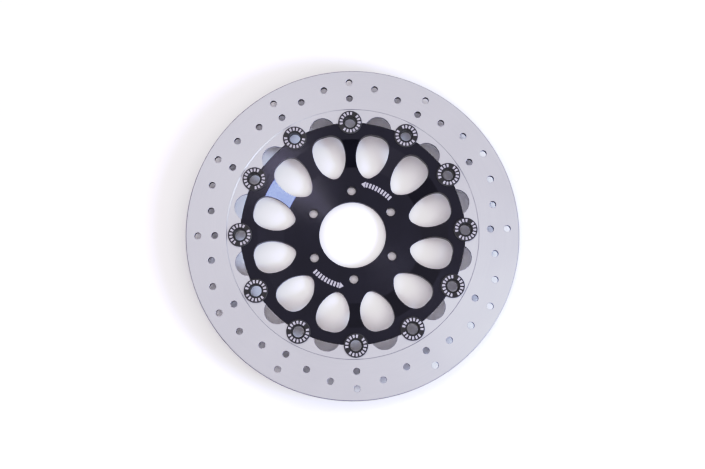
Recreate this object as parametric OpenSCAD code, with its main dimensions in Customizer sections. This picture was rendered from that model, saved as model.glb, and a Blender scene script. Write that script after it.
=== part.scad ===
// Floating brake disc for a motorcycle: a drilled friction ring hung on a dished carrier by
// drive bobbins, each held by a flat washer, a wave washer and a circlip at the back.
// +Z points to the outer, visible face. The origin is the centre of the hub bore at the hub's
// back face, the face that bolts to the wheel.

/* [Friction ring] */
// Outside diameter of the friction ring
ring_od = 320; // [300:2:330]
// Thickness of the ring where the pads run
ring_thickness = 5; // [4.5:0.1:6]
// Thickness of the ring's inner ears, which are turned down on both sides
ear_thickness = 4; // [3.5:0.1:4]
// Inside radius of the pad track
track_inner_r = 121.2; // [119:0.1:124]
// Radius of the ears' inner edge
ear_inner_r = 107.9; // [107.7:0.1:108]
// Chamfer on the outer edge
ring_chamfer = 1; // [0.4:0.1:1.4]
// Diameter of the holes drilled through the track
drill_d = 6.4; // [5:0.1:8]
// Chamfer at each end of a drilled hole
drill_chamfer = 0.15; // [0.05:0.05:0.5]
// Radius of the innermost circle of drilled holes
drill_inner_r = 132; // [130:0.1:134]
// Step from one circle of drilled holes to the next
drill_step = 5.4; // [4.5:0.1:5.6]
// Radius of the relief lobes between the ears
lobe_r = 12.8; // [11:0.1:13.4]
// Distance of the lobes' centres from the axis
lobe_centre_r = 103.7; // [102:0.1:104.2]

/* [Carrier] */
// Thickness of the hub, the dished web and the rim
carrier_thickness = 6; // [5:0.5:7]
// Outside radius of the carrier's rim
rim_outer_r = 107.5; // [106.5:0.1:107.6]
// Radius where the flat rim turns into the cone
rim_inner_r = 91.3; // [90:0.1:93]
// Radius where the cone turns into the flat hub
hub_outer_r = 66.8; // [64:0.1:69]
// Height of the ring's middle plane above the mounting face
ring_offset = 20; // [18:0.5:22]
// Diameter of the centre bore
bore_d = 65; // [58:0.5:66]
// Break on the carrier's turned edges
carrier_chamfer = 0.5; // [0.3:0.1:0.8]

/* [Bolt circle] */
// Number of wheel bolts
bolt_count = 6; // [5:1:6]
// Pitch circle diameter of the wheel bolts
bolt_pcd = 87; // [84:0.5:92]
// Diameter of a wheel bolt hole
bolt_hole_d = 8.7; // [8.4:0.1:9]

/* [Windows] */
// Distance of a window's narrow tip from the axis
window_tip_x = 57.5; // [56:0.5:60]
// Distance of a window's wide end from the axis
window_end_x = 97.6; // [95:0.1:98]
// Greatest half width of a window
window_half_w = 15.8; // [14:0.1:16.2]
// Distance from the axis at which a window is widest
window_wide_x = 82; // [80:0.5:83]
// Radius of the narrow tip
window_tip_r = 7.5; // [6:0.5:9]
// Radius of the two corners of the wide end
window_corner_r = 13; // [11:0.5:14]

/* [Bobbins] */
// Radius of the circle that the bobbins lie on
bobbin_pitch_r = 108; // [107.8:0.1:108.2]
// Radius of a bobbin's shank
shank_r = 8; // [7.5:0.1:8.2]
// Radius of a bobbin's flange
flange_r = 11.4; // [11:0.1:11.8]
// Thickness of the flange
flange_thickness = 1.5; // [1.2:0.1:2]
// Radius of the hole through a bobbin
bobbin_hole_r = 5.5; // [4.5:0.1:5.8]
// Radius of the countersink's mouth
bobbin_sink_r = 6.4; // [6:0.1:6.6]
// Inside radius of the shallow recess in the flange that the markings lie in
mark_inner_r = 6.9; // [6.7:0.1:7.2]
// Outside radius of the marking recess
mark_outer_r = 10.4; // [9.8:0.1:10.5]
// Depth of the marking recess
mark_depth = 0.1; // [0.05:0.05:0.2]
// Running clearance around the shank
shank_clearance = 0.05; // [0.02:0.01:0.1]
// Free play of the ring each way between flange and washer
ring_play = 0.25; // [0.2:0.05:0.4]

/* [Washers and circlips] */
// Thickness of a flat washer
flat_thickness = 0.8; // [0.6:0.1:1]
// Outside radius of a flat washer
flat_outer_r = 11.2; // [10.5:0.1:11.4]
// Working height of a wave washer
wave_height = 1; // [0.8:0.1:1.2]
// Thickness of a wave washer's strip
wave_strip = 0.4; // [0.3:0.05:0.5]
// Outside radius of a wave washer
wave_outer_r = 10.6; // [10:0.1:11]
// Thickness of a circlip
clip_thickness = 1; // [0.8:0.1:1.2]
// Radial width of a circlip
clip_width = 2.2; // [1.8:0.1:2.4]
// Depth of the circlip's groove
groove_depth = 0.4; // [0.3:0.05:0.6]

/* [Hidden] */
bobbin_count = 12; // also the number of ears, lobes and windows, which the drilled holes follow
BOBBINS = [for (k = [1:bobbin_count]) numbered("bobbin", k)];
FLAT_WASHERS = [for (k = [1:bobbin_count]) numbered("flat_washer", k)];
WAVE_WASHERS = [for (k = [1:bobbin_count]) numbered("wave_washer", k)];
CIRCLIPS = [for (k = [1:bobbin_count]) numbered("circlip", k)];

$fn = 96;
pitch_angle = 360 / bobbin_count;
cut = 1; // how far a cutting solid runs past the surface it cuts

// Heights, from the ring's middle plane outwards and back
track_top = ring_offset + ring_thickness / 2;
track_bottom = ring_offset - ring_thickness / 2;
ear_top = ring_offset + ear_thickness / 2;
ear_bottom = ring_offset - ear_thickness / 2;
seat_top = ear_top + ring_play;
seat_bottom = ear_bottom - ring_play;
flat_bottom = seat_bottom - flat_thickness;
wave_bottom = flat_bottom - wave_height;
clip_bottom = wave_bottom - clip_thickness;
tail_bottom = clip_bottom - 1.2;
flange_top = seat_top + flange_thickness;

// The carrier's section: its back is parallel to its front
rim_top = seat_top;
rim_bottom = rim_top - carrier_thickness;
cone_angle = atan2(rim_top - carrier_thickness, rim_inner_r - hub_outer_r);
bend_shift = carrier_thickness * tan(cone_angle / 2);
notch_r = shank_r + shank_clearance;
spot_face_r = 12.6;
bolt_chamfer = 0.5;

// The window's outline is five tangent arcs: the tip, two long sides and two corners
side_a = window_wide_x - window_tip_x;
side_r = (side_a * side_a + window_half_w * window_half_w - 2 * side_a * window_tip_r)
    / (2 * (window_half_w - window_tip_r));
side_y = side_r - window_half_w;
corner_x = window_end_x - window_corner_r;
corner_dx = corner_x - window_wide_x;
corner_y = sqrt((side_r - window_corner_r) ^ 2 - corner_dx ^ 2) - side_y;
tip_x = window_tip_x + window_tip_r;
side_start_x = window_wide_x - side_r * (window_wide_x - tip_x) / (side_r - window_tip_r);
side_end_x = window_wide_x + side_r * corner_dx / (side_r - window_corner_r);
tuck = 0.01; // how far a straight or side edge stays inside the arc it meets

// Circlip
groove_r = shank_r - groove_depth;
groove_slack = 0.1;
clip_inner_r = groove_r + 0.02;
clip_outer_r = clip_inner_r + clip_width;
clip_gap_angle = 46;
lug_r = 1.9;
lug_centre_r = 9.4;
lug_hole_r = 0.85;

// Wave washer
waves = 3;
wave_steps = 48;
wave_inner_r = shank_r + 0.25;
wave_rise = (wave_height - wave_strip) / 2;
wave_middle = flat_bottom - wave_height / 2;

function numbered(word, k) = str(word, k < 10 ? "_0" : "_", k);

module around(first_angle, radius) {
    rotate(first_angle) translate([radius, 0, 0]) children();
}

// Solid of revolution from a list of [radius, height] points
module turned(section) {
    rotate_extrude($fn = 180) polygon(section);
}

// A drill that also chamfers both mouths of its hole, from height low to height high
module chamfering_drill(r, low, high, chamfer) {
    flare = chamfer + cut;
    rotate_extrude($fn = 48)
        polygon([
            [0, low - cut],
            [r + flare, low - cut],
            [r, low + chamfer],
            [r, high - chamfer],
            [r + flare, high + cut],
            [0, high + cut]
        ]);
}

// ---- friction ring ----

module friction_ring_section() {
    r = ring_od / 2;
    turned([
        [ear_inner_r, ear_bottom],
        [track_inner_r - (ear_bottom - track_bottom), ear_bottom],
        [track_inner_r, track_bottom],
        [r - ring_chamfer, track_bottom],
        [r, track_bottom + ring_chamfer],
        [r, track_top - ring_chamfer],
        [r - ring_chamfer, track_top],
        [track_inner_r, track_top],
        [track_inner_r - (track_top - ear_top), ear_top],
        [ear_inner_r, ear_top]
    ]);
}

module track_hole(angle, circle) {
    around(angle, drill_inner_r + circle * drill_step)
        chamfering_drill(drill_d / 2, track_bottom, track_top, drill_chamfer);
}

// The same eight holes repeat every 60 degrees: a pair of holes in line with each bobbin,
// and between the pairs a hole at every 10 degrees that steps out and back in
module drilled_pattern() {
    for (sector = [0:60:300]) {
        for (angle = [0, 30]) {
            track_hole(sector + angle, 0);
            track_hole(sector + angle, 3);
        }
        track_hole(sector + 10, 1);
        track_hole(sector + 20, 2);
        track_hole(sector + 40, 2);
        track_hole(sector + 50, 1);
    }
}

module friction_ring() {
    color("silver")
        difference() {
            friction_ring_section();
            for (k = [0:bobbin_count - 1]) {
                around((k + 0.5) * pitch_angle, lobe_centre_r)
                    translate([0, 0, ear_bottom - cut])
                        cylinder(r = lobe_r, h = ear_thickness + 2 * cut);
                around(k * pitch_angle, bobbin_pitch_r)
                    translate([0, 0, ear_bottom - cut])
                        cylinder(r = notch_r, h = ear_thickness + 2 * cut);
            }
            drilled_pattern();
        }
}

// ---- carrier ----

module carrier_section() {
    c = carrier_chamfer;
    turned([
        [bore_d / 2 + c, 0],
        [hub_outer_r + bend_shift, 0],
        [rim_inner_r + bend_shift, rim_bottom],
        [rim_outer_r - c, rim_bottom],
        [rim_outer_r, rim_bottom + c],
        [rim_outer_r, rim_top - c],
        [rim_outer_r - c, rim_top],
        [rim_inner_r, rim_top],
        [hub_outer_r, carrier_thickness],
        [bore_d / 2 + c, carrier_thickness],
        [bore_d / 2, carrier_thickness - c],
        [bore_d / 2, c]
    ]);
}

// One long side of the window, the strip between the tip arc and the corner arcs
module window_sides() {
    intersection() {
        translate([window_wide_x, -side_y]) circle(r = side_r - tuck);
        translate([window_wide_x, side_y]) circle(r = side_r - tuck);
        translate([side_start_x, -window_half_w])
            square([side_end_x - side_start_x, 2 * window_half_w]);
    }
}

module window_outline() {
    window_sides();
    translate([tip_x, 0]) circle(r = window_tip_r);
    for (side = [-1, 1])
        translate([corner_x, side * corner_y]) circle(r = window_corner_r);
    translate([corner_x, -corner_y])
        square([window_corner_r - tuck, 2 * corner_y]);
}

module window_cutter() {
    translate([0, 0, -cut])
        linear_extrude(rim_top + 2 * cut)
            window_outline();
}

module carrier() {
    color("#202226")
        difference() {
            carrier_section();
            for (k = [0:bobbin_count - 1]) {
                around((k + 0.5) * pitch_angle, 0)
                    window_cutter();
                around(k * pitch_angle, bobbin_pitch_r)
                    translate([0, 0, rim_bottom - cut])
                        cylinder(r = notch_r, h = carrier_thickness + 2 * cut);
                around(k * pitch_angle, bobbin_pitch_r)
                    translate([0, 0, rim_bottom - cut])
                        cylinder(r = spot_face_r, h = seat_bottom - rim_bottom + cut);
            }
            for (k = [0:bolt_count - 1])
                around((k + 0.5) * 360 / bolt_count, bolt_pcd / 2)
                    chamfering_drill(bolt_hole_d / 2, 0, carrier_thickness, bolt_chamfer);
        }
}

// ---- bobbins and what holds them ----

module bobbin(k) {
    edge = 0.4; // chamfer on the flange and on the tail
    sink = bobbin_sink_r - bobbin_hole_r;
    color("#2a2c30")
        around((k - 1) * pitch_angle, bobbin_pitch_r)
            rotate_extrude($fn = 96)
                polygon([
                    [bobbin_hole_r, tail_bottom + edge],
                    [bobbin_hole_r + edge, tail_bottom],
                    [shank_r - edge, tail_bottom],
                    [shank_r, tail_bottom + edge],
                    [shank_r, clip_bottom],
                    [groove_r, clip_bottom],
                    [groove_r, wave_bottom + groove_slack],
                    [shank_r, wave_bottom + groove_slack],
                    [shank_r, seat_top],
                    [flange_r, seat_top],
                    [flange_r, flange_top - edge],
                    [flange_r - edge, flange_top],
                    [mark_outer_r, flange_top],
                    [mark_outer_r - mark_depth, flange_top - mark_depth],
                    [mark_inner_r + mark_depth, flange_top - mark_depth],
                    [mark_inner_r, flange_top],
                    [bobbin_sink_r, flange_top],
                    [bobbin_hole_r, flange_top - sink]
                ]);
}

module flat_washer(k) {
    edge = 0.12;
    inner_r = shank_r + 0.15;
    color("lightgray")
        around((k - 1) * pitch_angle, bobbin_pitch_r)
            rotate_extrude($fn = 96)
                polygon([
                    [inner_r, flat_bottom],
                    [flat_outer_r - edge, flat_bottom],
                    [flat_outer_r, flat_bottom + edge],
                    [flat_outer_r, seat_bottom - edge],
                    [flat_outer_r - edge, seat_bottom],
                    [inner_r, seat_bottom]
                ]);
}

// Height of the wave washer's middle surface at an angle round it
function wave_z(angle) = wave_middle + wave_rise * sin(waves * angle);

// The four corners of the wave washer's section at one angle
function wave_ring(angle) = [
    for (corner = [[wave_inner_r, -1], [wave_outer_r, -1], [wave_outer_r, 1], [wave_inner_r, 1]])
        [corner[0] * cos(angle), corner[0] * sin(angle), wave_z(angle) + corner[1] * wave_strip / 2]
];

module wave_washer(k) {
    points = [for (i = [0:wave_steps - 1]) each wave_ring(i * 360 / wave_steps)];
    faces = [
        for (i = [0:wave_steps - 1], j = [0:3])
            let (next = (i + 1) % wave_steps, up = (j + 1) % 4)
                [4 * i + j, 4 * i + up, 4 * next + up, 4 * next + j]
    ];
    color("gainsboro")
        around((k - 1) * pitch_angle, bobbin_pitch_r)
            polyhedron(points, faces);
}

// Circlip with two drilled lugs either side of its gap, which faces away from the axis
module circlip(k) {
    lug_angle = clip_gap_angle / 2 + asin(lug_r / lug_centre_r);
    gap_reach = 2 * clip_outer_r;
    color("darkgray")
        around((k - 1) * pitch_angle, bobbin_pitch_r)
            translate([0, 0, clip_bottom])
                linear_extrude(clip_thickness)
                    difference() {
                        union() {
                            circle(r = clip_outer_r, $fn = 72);
                            for (side = [-1, 1])
                                rotate(side * lug_angle) translate([lug_centre_r, 0])
                                    circle(r = lug_r, $fn = 32);
                        }
                        circle(r = clip_inner_r, $fn = 72);
                        for (side = [-1, 1])
                            rotate(side * lug_angle) translate([lug_centre_r, 0])
                                circle(r = lug_hole_r, $fn = 24);
                        polygon([
                            [0, 0],
                            gap_reach * [cos(clip_gap_angle / 2), sin(clip_gap_angle / 2)],
                            gap_reach * [cos(clip_gap_angle / 2), -sin(clip_gap_angle / 2)]
                        ]);
                    }
}

friction_ring();
carrier();
for (k = [1:bobbin_count]) {
    bobbin(k);
    flat_washer(k);
    wave_washer(k);
    circlip(k);
}
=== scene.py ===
import math

import bmesh
import bpy
from mathutils import Euler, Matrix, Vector


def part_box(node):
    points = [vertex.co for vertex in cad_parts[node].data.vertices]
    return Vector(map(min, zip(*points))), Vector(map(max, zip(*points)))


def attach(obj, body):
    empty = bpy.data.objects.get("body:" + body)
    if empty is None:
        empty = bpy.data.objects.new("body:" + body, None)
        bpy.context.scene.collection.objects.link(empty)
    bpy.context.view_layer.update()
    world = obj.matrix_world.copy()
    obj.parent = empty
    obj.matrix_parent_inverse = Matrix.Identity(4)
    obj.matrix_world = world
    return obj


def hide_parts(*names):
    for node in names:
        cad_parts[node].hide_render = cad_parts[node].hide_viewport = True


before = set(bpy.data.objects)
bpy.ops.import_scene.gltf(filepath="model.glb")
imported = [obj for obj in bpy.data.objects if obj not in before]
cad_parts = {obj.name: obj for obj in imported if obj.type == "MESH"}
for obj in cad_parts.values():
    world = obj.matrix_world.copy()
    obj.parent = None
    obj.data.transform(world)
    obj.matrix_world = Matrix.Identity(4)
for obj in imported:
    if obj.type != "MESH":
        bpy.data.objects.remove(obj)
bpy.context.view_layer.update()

MM = 0.001
BOBBIN_COUNT = 12
PITCH_ANGLE = 360 / BOBBIN_COUNT

# Heights and radii that the new pieces are laid out from
FLANGE_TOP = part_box("bobbin_01")[1].z
BOBBIN_PITCH_R = (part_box("bobbin_01")[0].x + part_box("bobbin_01")[1].x) / 2
WAVE_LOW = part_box("wave_washer_01")[0].z
WAVE_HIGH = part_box("wave_washer_01")[1].z
RECESS_DEPTH = 0.1 * MM  # of the shallow ring in the flange that the marks lie in
FLANGE_EDGE_R = 10.95 * MM  # where the flange's chamfer starts
HUB_TOP = 6 * MM
DRILLED_INNER_R = 124 * MM  # the drilled holes lie between these two radii
DRILLED_OUTER_R = 158 * MM
PAST_RING_R = 200 * MM  # anywhere beyond the ring's outer edge

scene = bpy.context.scene


# ---- helpers ----

def polar(radius, degrees, z=0.0):
    """Point at a radius and an angle about the disc's axis."""
    a = math.radians(degrees)
    return Vector((radius * math.cos(a), radius * math.sin(a), z))


def bobbin_axis(k):
    """Centre line of bobbin k, counted from 1, as a point at height 0."""
    return polar(BOBBIN_PITCH_R, (k - 1) * PITCH_ANGLE)


def new_object(name, bm, material):
    mesh = bpy.data.meshes.new(name)
    bm.to_mesh(mesh)
    bm.free()
    mesh.materials.append(material)
    obj = bpy.data.objects.new(name, mesh)
    scene.collection.objects.link(obj)
    return obj


# ---- materials ----

# The Mix node has sockets of the same name for each kind of value: these are its colour ones
COLOUR_A = 6
COLOUR_B = 7
COLOUR_RESULT = 2


class Nodes:
    """A material's node tree, with short calls for the nodes that these materials use."""

    def __init__(self, name, base, metallic, roughness, specular=0.5):
        self.material = bpy.data.materials.new(name)
        self.material.use_nodes = True
        self.tree = self.material.node_tree
        self.shader = self.tree.nodes["Principled BSDF"]
        self.shader.inputs["Base Color"].default_value = (*base, 1.0)
        self.shader.inputs["Metallic"].default_value = metallic
        self.shader.inputs["Roughness"].default_value = roughness
        self.shader.inputs["Specular IOR Level"].default_value = specular
        self.object_point = self.node("ShaderNodeTexCoord").outputs["Object"]

    def node(self, kind, **settings):
        made = self.tree.nodes.new(kind)
        for key, value in settings.items():
            setattr(made, key, value)
        return made

    def link(self, output, target):
        self.tree.links.new(output, target)

    def math(self, operation, a, b=None):
        made = self.node("ShaderNodeMath", operation=operation)
        for slot, value in enumerate([a] if b is None else [a, b]):
            if isinstance(value, (int, float)):
                made.inputs[slot].default_value = value
            else:
                self.link(value, made.inputs[slot])
        return made.outputs[0]

    def polar_coordinates(self, centre=(0.0, 0.0, 0.0)):
        """Distance from an upright axis, and the unit vector that points away from it."""
        shift = self.node("ShaderNodeVectorMath", operation="SUBTRACT")
        self.link(self.object_point, shift.inputs[0])
        shift.inputs[1].default_value = centre
        flat = self.node("ShaderNodeVectorMath", operation="MULTIPLY")
        self.link(shift.outputs[0], flat.inputs[0])
        flat.inputs[1].default_value = (1, 1, 0)
        length = self.node("ShaderNodeVectorMath", operation="LENGTH")
        self.link(flat.outputs[0], length.inputs[0])
        unit = self.node("ShaderNodeVectorMath", operation="NORMALIZE")
        self.link(flat.outputs[0], unit.inputs[0])
        return length.outputs["Value"], unit.outputs[0]

    def turned_noise(self, lines_per_mm, drift, centre=(0.0, 0.0, 0.0)):
        """Noise drawn out into circles about an axis, as a lathe or a grinder leaves it.
        drift says how fast a line changes along its circle."""
        radius, unit = self.polar_coordinates(centre)
        along = self.node("ShaderNodeVectorMath", operation="SCALE")
        self.link(unit, along.inputs[0])
        along.inputs["Scale"].default_value = drift
        across = self.node("ShaderNodeCombineXYZ")
        self.link(self.math("MULTIPLY", radius, lines_per_mm / MM), across.inputs["Z"])
        place = self.node("ShaderNodeVectorMath", operation="ADD")
        self.link(along.outputs[0], place.inputs[0])
        self.link(across.outputs[0], place.inputs[1])
        noise = self.node("ShaderNodeTexNoise")
        self.link(place.outputs[0], noise.inputs["Vector"])
        noise.inputs["Scale"].default_value = 1.0
        return noise.outputs["Fac"]

    def noise(self, per_metre, detail=3.0):
        made = self.node("ShaderNodeTexNoise")
        self.link(self.object_point, made.inputs["Vector"])
        made.inputs["Scale"].default_value = per_metre
        made.inputs["Detail"].default_value = detail
        return made.outputs["Fac"]

    def span(self, value, low, high, from_low=0.3, from_high=0.7):
        """Maps a noise value to the range low to high."""
        made = self.node("ShaderNodeMapRange")
        self.link(value, made.inputs["Value"])
        made.inputs["From Min"].default_value = from_low
        made.inputs["From Max"].default_value = from_high
        made.inputs["To Min"].default_value = low
        made.inputs["To Max"].default_value = high
        return made.outputs["Result"]

    def mixed(self, share, first, second):
        """Blend of two colours, each of them a plain colour or another node's output."""
        made = self.node("ShaderNodeMix", data_type="RGBA")
        self.link(share, made.inputs["Factor"])
        for socket, colour in ((COLOUR_A, first), (COLOUR_B, second)):
            if isinstance(colour, tuple):
                made.inputs[socket].default_value = (*colour, 1.0)
            else:
                self.link(colour, made.inputs[socket])
        return made.outputs[COLOUR_RESULT]

    def steep(self, inner, outer, from_level, to_level):
        """1 on steep faces between two radii and 0 on level ones. The last two say how far up
        the normal of a face points where the change starts and ends."""
        normal = self.node("ShaderNodeSeparateXYZ")
        self.link(self.node("ShaderNodeTexCoord").outputs["Normal"], normal.inputs[0])
        level = self.math("ABSOLUTE", normal.outputs["Z"])
        radius, _ = self.polar_coordinates()
        between = self.math("MULTIPLY", self.math("GREATER_THAN", radius, inner),
                            self.math("LESS_THAN", radius, outer))
        return self.math("MULTIPLY", self.span(level, 1, 0, from_level, to_level), between)

    def grooved(self, amount):
        """Stretches highlights away from the disc's axis, as fine grooves round it do."""
        tangent = self.node("ShaderNodeTangent", direction_type="RADIAL", axis="Z")
        self.link(tangent.outputs[0], self.shader.inputs["Tangent"])
        self.shader.inputs["Anisotropic"].default_value = amount
        self.shader.inputs["Anisotropic Rotation"].default_value = 0.25

    def colour(self, output):
        self.link(output, self.shader.inputs["Base Color"])

    def roughness(self, output):
        self.link(output, self.shader.inputs["Roughness"])

    def bump(self, height, distance):
        made = self.node("ShaderNodeBump")
        self.link(height, made.inputs["Height"])
        made.inputs["Distance"].default_value = distance
        self.link(made.outputs["Normal"], self.shader.inputs["Normal"])


def ground_steel():
    """Stainless ring, ground flat: fine grinding lines that run round it, and faint cloudiness.
    The walls of its drilled holes and its outer edge are painted darker, as painted shade.
    """
    m = Nodes("ground_steel", (0.46, 0.47, 0.505), 1.0, 0.45)
    m.grooved(0.25)
    lines = m.turned_noise(lines_per_mm=2.5, drift=5.0)
    cloud = m.noise(per_metre=28.0)
    both = m.math("ADD", m.math("MULTIPLY", lines, 0.6), m.math("MULTIPLY", cloud, 0.4))
    ground = m.mixed(m.span(both, 0, 1), (0.443, 0.455, 0.49), (0.478, 0.49, 0.525))
    # Painted shade: the walls of the drilled holes are painted near black, as if in shadow.
    hole_wall_shade = m.steep(DRILLED_INNER_R, DRILLED_OUTER_R, from_level=0.3, to_level=0.6)
    drilled = m.mixed(hole_wall_shade, ground, (0.09, 0.09, 0.105))
    # Painted shade: the ring's steep outer edge is painted darker than the ground track.
    outer_edge_shade = m.steep(DRILLED_OUTER_R, PAST_RING_R, from_level=0.75, to_level=0.95)
    m.colour(m.mixed(outer_edge_shade, drilled, (0.3, 0.305, 0.33)))
    m.roughness(m.span(both, 0.42, 0.48))
    m.bump(lines, 0.004 * MM)
    return m.material


def black_anodised():
    """Turned aluminium under satin black anodising: tool marks run round it."""
    m = Nodes("black_anodised", (0.006, 0.006, 0.012), 0.0, 0.18, specular=0.47)
    m.shader.inputs["Specular Tint"].default_value = (0.78, 0.77, 1.0, 1.0)
    m.grooved(0.9)
    lines = m.turned_noise(lines_per_mm=3.0, drift=3.0)
    cloud = m.noise(per_metre=60.0, detail=4.0)
    m.colour(m.mixed(m.span(cloud, 0, 1), (0.005, 0.005, 0.010), (0.007, 0.007, 0.014)))
    m.roughness(m.span(m.math("MULTIPLY", m.math("ADD", lines, cloud), 0.5), 0.16, 0.20))
    m.bump(lines, 0.001 * MM)
    return m.material


def bobbin_anodised(k):
    """Turned, black anodised bobbin: its tool marks run round its own axis, and the edge of
    its flange is painted paler in patches, a painted highlight."""
    m = Nodes(f"bobbin_anodised_{k:02d}", (0.014, 0.014, 0.018), 0.0, 0.32, specular=0.5)
    axis = tuple(bobbin_axis(k))
    lines = m.turned_noise(lines_per_mm=6.0, drift=2.0, centre=axis)
    black = m.mixed(m.span(lines, 0, 1), (0.011, 0.011, 0.015), (0.022, 0.022, 0.027))
    radius, _ = m.polar_coordinates(axis)
    # Painted highlight: past the chamfer's start the flange is painted paler, in patches, where
    # its edge catches light.
    edge = m.math("GREATER_THAN", radius, FLANGE_EDGE_R)
    flange_edge_highlight = m.math("MULTIPLY", edge, m.span(m.noise(per_metre=900.0), 0.35, 1.0))
    m.colour(m.mixed(flange_edge_highlight, black, (0.11, 0.11, 0.12)))
    m.roughness(m.span(lines, 0.26, 0.4))
    m.bump(lines, 0.004 * MM)
    return m.material


def laser_mark():
    """Pale, matt laser marking, slightly grainy."""
    m = Nodes("laser_mark", (0.39, 0.38, 0.41), 0.0, 0.7, specular=0.3)
    grain = m.noise(per_metre=1200.0, detail=2.0)
    m.colour(m.mixed(m.span(grain, 0, 1), (0.3, 0.29, 0.315), (0.48, 0.47, 0.5)))
    m.bump(grain, 0.01 * MM)
    return m.material


def small_steel(name, dark, light, roughness_low, roughness_high, k):
    """Washer or circlip steel, with marks round the bobbin's axis."""
    m = Nodes(f"{name}_{k:02d}", dark, 1.0, roughness_low)
    lines = m.turned_noise(lines_per_mm=5.0, drift=4.0, centre=tuple(bobbin_axis(k)))
    cloud = m.noise(per_metre=300.0)
    both = m.math("MULTIPLY", m.math("ADD", lines, cloud), 0.5)
    m.colour(m.mixed(m.span(both, 0, 1), dark, light))
    m.roughness(m.span(both, roughness_low, roughness_high))
    m.bump(lines, 0.003 * MM)
    return m.material


def paint_node(node, material):
    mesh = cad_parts[node].data
    mesh.materials.clear()
    mesh.materials.append(material)


paint_node("friction_ring", ground_steel())
paint_node("carrier", black_anodised())
for k in range(1, BOBBIN_COUNT + 1):
    paint_node(f"bobbin_{k:02d}", bobbin_anodised(k))
    paint_node(f"flat_washer_{k:02d}",
               small_steel("zinc_steel", (0.5, 0.51, 0.52), (0.66, 0.67, 0.68), 0.3, 0.45, k))
    paint_node(f"circlip_{k:02d}",
               small_steel("dark_steel", (0.06, 0.06, 0.065), (0.13, 0.13, 0.13), 0.35, 0.5, k))
MARK = laser_mark()


# ---- wave washers ----

WAVE_INNER_R = 8.25 * MM
WAVE_OUTER_R = 10.6 * MM
WAVE_STRIP = 0.4 * MM
WAVE_EDGE = 0.08 * MM  # rounding of the strip's edges
WAVE_COUNT = 3
WAVE_STEPS = 144


def wave_washer(k):
    """The washer in CAD, drawn with a finer wave and rounded edges."""
    half = WAVE_STRIP / 2
    section = []
    for radius, side, inward in ((WAVE_INNER_R, -1, 1), (WAVE_OUTER_R, -1, -1),
                                 (WAVE_OUTER_R, 1, -1), (WAVE_INNER_R, 1, 1)):
        on_wall = (radius, side * (half - WAVE_EDGE))
        on_face = (radius + inward * WAVE_EDGE, side * half)
        section += [on_wall, on_face] if side * inward < 0 else [on_face, on_wall]
    middle = (WAVE_LOW + WAVE_HIGH) / 2
    rise = (WAVE_HIGH - WAVE_LOW - WAVE_STRIP) / 2
    start = (k - 1) * PITCH_ANGLE
    bm = bmesh.new()
    rings = []
    for i in range(WAVE_STEPS):
        a = 360 * i / WAVE_STEPS
        z = middle + rise * math.sin(math.radians(WAVE_COUNT * a))
        rings.append([bm.verts.new(bobbin_axis(k) + polar(r, start + a, z + dz))
                      for r, dz in section])
    for here, there in zip(rings, rings[1:] + rings[:1]):
        for j in range(len(section)):
            up = (j + 1) % len(section)
            bm.faces.new((here[j], here[up], there[up], there[j]))
    bmesh.ops.recalc_face_normals(bm, faces=bm.faces)
    for face in bm.faces:
        face.smooth = True
    steel = small_steel("spring_steel", (0.42, 0.42, 0.43), (0.56, 0.56, 0.56), 0.25, 0.4, k)
    washer = new_object(f"wave_ring_{k:02d}", bm, steel)
    washer.data.set_sharp_from_angle(angle=math.radians(30))
    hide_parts(f"wave_washer_{k:02d}")
    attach(washer, f"bobbin_set_{k:02d}")


for k in range(1, BOBBIN_COUNT + 1):
    wave_washer(k)


# ---- marks ----

ARC_STEPS = 4


def add_arc_bar(bm, centre, inner, outer, middle, width, low, high):
    """Adds a closed bar that follows an arc: radii inner to outer, width in degrees."""
    rings = []
    for i in range(ARC_STEPS + 1):
        a = middle - width / 2 + width * i / ARC_STEPS
        rings.append([
            bm.verts.new(centre + polar(radius, a, z))
            for radius, z in ((inner, low), (outer, low), (outer, high), (inner, high))
        ])
    for here, there in zip(rings, rings[1:]):
        for j in range(len(here)):
            up = (j + 1) % len(here)
            bm.faces.new((here[up], here[j], there[j], there[up]))
    bm.faces.new(rings[0])
    bm.faces.new(rings[-1][::-1])


# The direction that each bobbin's longer row of marks faces, in degrees: each bobbin has
# turned in its seat and come to rest at its own angle
MARK_DIRECTIONS = [-45, -35, 235, -45, 265, 150, 150, 80, 285, -45, 80, 175]
MARK_INNER_R = 7.15 * MM
MARK_OUTER_R = 10.28 * MM
MARK_PITCH = 21.0  # degrees about the bobbin's axis, as is the width
MARK_WIDTH = 12.5
LONG_ROW = 9
SHORT_ROW = 6
MARK_HEIGHT = 0.03 * MM
ROOT = 0.05 * MM  # how far a mark reaches into the metal under it


def bobbin_marks(k):
    """Two rows of plain radial ticks in the flange's recess, a long one and a short one."""
    bm = bmesh.new()
    centre = bobbin_axis(k)
    facing = MARK_DIRECTIONS[k - 1]
    floor = FLANGE_TOP - RECESS_DEPTH
    for count, direction in ((LONG_ROW, facing), (SHORT_ROW, facing + 180)):
        for i in range(count):
            middle = direction + (i - (count - 1) / 2) * MARK_PITCH
            add_arc_bar(bm, centre, MARK_INNER_R, MARK_OUTER_R, middle, MARK_WIDTH,
                        floor - ROOT, floor + MARK_HEIGHT)
    obj = new_object(f"bobbin_marks_{k:02d}", bm, MARK)
    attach(obj, f"bobbin_set_{k:02d}")


for k in range(1, BOBBIN_COUNT + 1):
    bobbin_marks(k)


BAR_INNER_R = 48.6 * MM
BAR_OUTER_R = 53.6 * MM
BAR_COUNT = 9
BAR_PITCH = 3.6  # degrees about the disc's axis, as are the width and the head's length
BAR_WIDTH = 2.4
HEAD_INNER_R = 47.8 * MM
HEAD_OUTER_R = 54.4 * MM
HEAD_LENGTH = 4.8


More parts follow.
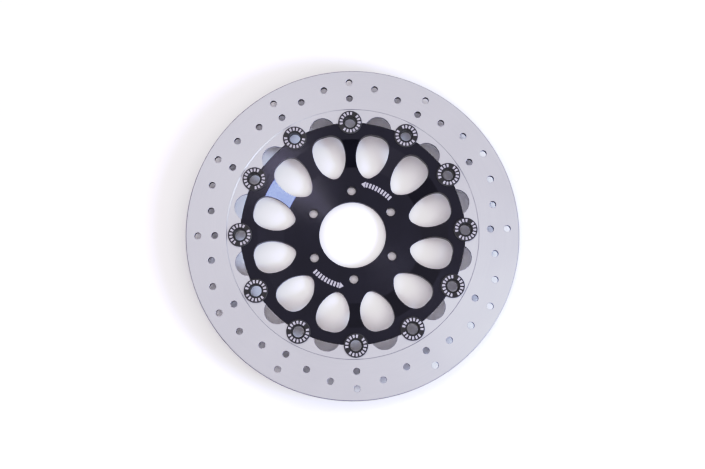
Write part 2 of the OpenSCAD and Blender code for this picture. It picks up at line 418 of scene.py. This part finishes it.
def hub_marks(name, start):
    """A row of plain bars on the hub and an arrowhead that shows which way the disc turns."""
    bm = bmesh.new()
    low = HUB_TOP - ROOT
    high = HUB_TOP + MARK_HEIGHT
    for i in range(BAR_COUNT):
        add_arc_bar(bm, Vector(), BAR_INNER_R, BAR_OUTER_R, start + i * BAR_PITCH, BAR_WIDTH,
                    low, high)
    head = start + (BAR_COUNT - 0.5) * BAR_PITCH
    corners = [(HEAD_INNER_R, head), (HEAD_OUTER_R, head),
               ((HEAD_INNER_R + HEAD_OUTER_R) / 2, head + HEAD_LENGTH)]
    bottom = [bm.verts.new(polar(r, a, low)) for r, a in corners]
    top = [bm.verts.new(polar(r, a, high)) for r, a in corners]
    bm.faces.new(top)
    bm.faces.new(bottom[::-1])
    for j in range(len(corners)):
        up = (j + 1) % len(corners)
        bm.faces.new((bottom[j], bottom[up], top[up], top[j]))
    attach(new_object(name, bm, MARK), "carrier")


# The two rows lie almost opposite each other, at these angles in degrees
hub_marks("hub_marks_1", 43.8)
hub_marks("hub_marks_2", 223.4)


# ---- camera ----

CAMERA_PLACE = (-18.79 * MM, -146.57 * MM, 996.32 * MM)
CAMERA_TURN = (8.4558, -0.8524, -1.5002)  # degrees about x, y and z
CAMERA_LENS = 52.55  # in mm, as is the sensor's width
CAMERA_SENSOR = 36
CAMERA_RANGE = 20  # in metres


def make_camera():
    """The camera looks almost straight down on the disc, from a metre up."""
    data = bpy.data.cameras.new("camera")
    data.lens = CAMERA_LENS
    data.sensor_width = CAMERA_SENSOR
    data.clip_end = CAMERA_RANGE
    camera = bpy.data.objects.new("camera", data)
    scene.collection.objects.link(camera)
    camera.location = CAMERA_PLACE
    camera.rotation_euler = Euler([math.radians(a) for a in CAMERA_TURN])
    scene.camera = camera


make_camera()


# ---- floor and light ----

FLOOR_HALF = 20.0
BACKDROP_RADIUS = 8.0
BACKDROP_HEIGHT = 5.0
BACKDROP_SIDES = 96


def floor_material():
    m = Nodes("floor_paper", (0.93, 0.93, 0.94), 0.0, 0.9, specular=0.1)
    cloud = m.span(m.noise(per_metre=6.0), 0, 1)
    m.colour(m.mixed(cloud, (0.92, 0.92, 0.93), (0.95, 0.95, 0.955)))
    return m.material


def make_floor():
    bm = bmesh.new()
    bmesh.ops.create_grid(bm, x_segments=1, y_segments=1, size=FLOOR_HALF)
    floor = new_object("floor", bm, floor_material())


def make_backdrop():
    """Pale wall, far off on all sides. It only shows; the room's light passes through it."""
    bm = bmesh.new()
    bmesh.ops.create_cone(bm, cap_ends=False, segments=BACKDROP_SIDES, radius1=BACKDROP_RADIUS,
                          radius2=BACKDROP_RADIUS, depth=BACKDROP_HEIGHT)
    bmesh.ops.translate(bm, verts=bm.verts, vec=(0, 0, BACKDROP_HEIGHT / 2))
    m = Nodes("backdrop_paper", (0, 0, 0), 0.0, 1.0, specular=0.0)
    m.shader.inputs["Emission Color"].default_value = (0.9, 0.885, 0.9, 1.0)
    m.shader.inputs["Emission Strength"].default_value = 1.0
    wall = new_object("backdrop", bm, m.material)
    wall.visible_diffuse = wall.visible_glossy = wall.visible_transmission = False
    wall.visible_shadow = False


def direction(azimuth, elevation):
    """Unit vector towards an azimuth and an elevation, in degrees."""
    return polar(math.cos(math.radians(elevation)), azimuth, math.sin(math.radians(elevation)))


def area_light(name, azimuth, elevation, distance, width, height, radiance, colour):
    """Soft light that faces the disc. Radiance is how bright it looks."""
    data = bpy.data.lights.new(name, "AREA")
    data.shape = "RECTANGLE"
    data.size = width
    data.size_y = height
    data.energy = radiance * math.pi * width * height
    data.color = colour
    light = bpy.data.objects.new(name, data)
    scene.collection.objects.link(light)
    out = direction(azimuth, elevation)
    light.location = out * distance
    light.rotation_mode = "QUATERNION"
    light.rotation_quaternion = out.to_track_quat("Z", "Y")


# How bright the room is at each height, as the sine of the elevation: dim overhead, bright
# high on the walls, dim again near the ground
ROOM_PROFILE = [(0.0, 0.15), (0.17, 0.45), (0.3, 0.75), (0.38, 1.0), (0.5, 0.95), (0.58, 1.05),
                (0.7, 1.2), (0.8, 1.4), (0.88, 1.42), (0.95, 1.08), (1.0, 0.86)]
ROOM_PEAK = 1.5
ROOM_TINT = (1.0, 0.945, 0.985)
BRIGHT_SIDE = (270, 0)  # azimuth and elevation of the room's brighter side
SIDE_REACH = 0.9  # cosine from which a direction counts as wholly on one side
DIM_SHARE = 0.62
BRIGHT_SHARE = 1.23
FADE_START = 0.7  # a patch fades out between these two parts of its half width
FADE_END = 1.3
# Patches of the room: azimuth, elevation, half width in degrees, how bright beside the rest
ROOM_PATCHES = [(271, 36, 16, 0.0), (202, 32, 13, 0.25), (40, 15, 35, 1.4), (300, 12, 30, 1.35),
                (195, 5, 16, 1.8)]


def make_world():
    """Soft room all round, without anything in it that has an edge."""
    world = bpy.data.worlds.new("room")
    world.use_nodes = True
    tree = world.node_tree
    background = tree.nodes["Background"]
    towards = tree.nodes.new("ShaderNodeTexCoord").outputs["Generated"]
    height = tree.nodes.new("ShaderNodeSeparateXYZ")
    tree.links.new(towards, height.inputs[0])
    ramp = tree.nodes.new("ShaderNodeValToRGB")
    tree.links.new(height.outputs["Z"], ramp.inputs["Fac"])
    stops = ramp.color_ramp.elements
    while len(stops) < len(ROOM_PROFILE):
        stops.new(0.5)
    for stop, (z, radiance) in zip(stops, ROOM_PROFILE):
        stop.position = z
        stop.color = (*[radiance / ROOM_PEAK * c for c in ROOM_TINT], 1.0)

    def along(axis, from_low, from_high, to_low, to_high, interpolation):
        """A factor that goes from to_low to to_high as the direction turns towards axis."""
        dot = tree.nodes.new("ShaderNodeVectorMath")
        dot.operation = "DOT_PRODUCT"
        tree.links.new(towards, dot.inputs[0])
        dot.inputs[1].default_value = axis
        fade = tree.nodes.new("ShaderNodeMapRange")
        fade.interpolation_type = interpolation
        tree.links.new(dot.outputs["Value"], fade.inputs["Value"])
        for name, value in (("From Min", from_low), ("From Max", from_high),
                            ("To Min", to_low), ("To Max", to_high)):
            fade.inputs[name].default_value = value
        return fade.outputs["Result"]

    strength = along(direction(*BRIGHT_SIDE), -SIDE_REACH, SIDE_REACH,
                     DIM_SHARE * ROOM_PEAK, BRIGHT_SHARE * ROOM_PEAK, "LINEAR")
    for azimuth, elevation, half_width, share in ROOM_PATCHES:
        outside = math.cos(math.radians(FADE_END * half_width))
        inside = math.cos(math.radians(FADE_START * half_width))
        product = tree.nodes.new("ShaderNodeMath")
        product.operation = "MULTIPLY"
        tree.links.new(strength, product.inputs[0])
        patch = along(direction(azimuth, elevation), outside, inside, 1.0, share, "SMOOTHSTEP")
        tree.links.new(patch, product.inputs[1])
        strength = product.outputs[0]
    tree.links.new(ramp.outputs["Color"], background.inputs["Color"])
    tree.links.new(strength, background.inputs["Strength"])
    scene.world = world


make_floor()
make_backdrop()
make_world()
area_light("window", azimuth=337.5, elevation=32, distance=1.34, width=0.42, height=0.33,
           radiance=29.5, colour=(0.56, 0.67, 0.95))
area_light("lamp", azimuth=107.9, elevation=75.9, distance=1.93, width=0.12, height=0.12,
           radiance=18, colour=(1.0, 0.95, 0.97))

# Scene light to picture light, as a camera's usual contrast curve has it
TONE_CURVE = [(0.0529, 0.0343), (0.138, 0.0976), (0.262, 0.258), (0.462, 0.558), (0.617, 0.73),
              (0.73, 0.8), (0.93, 0.93)]
ALL_CHANNELS = 3  # the curve after the ones for red, green and blue


def set_tones():
    view = scene.view_settings
    view.view_transform = "Standard"
    view.use_curve_mapping = True
    points = view.curve_mapping.curves[ALL_CHANNELS].points
    for light, shown in TONE_CURVE:
        points.new(light, shown)
    view.curve_mapping.update()


set_tones()
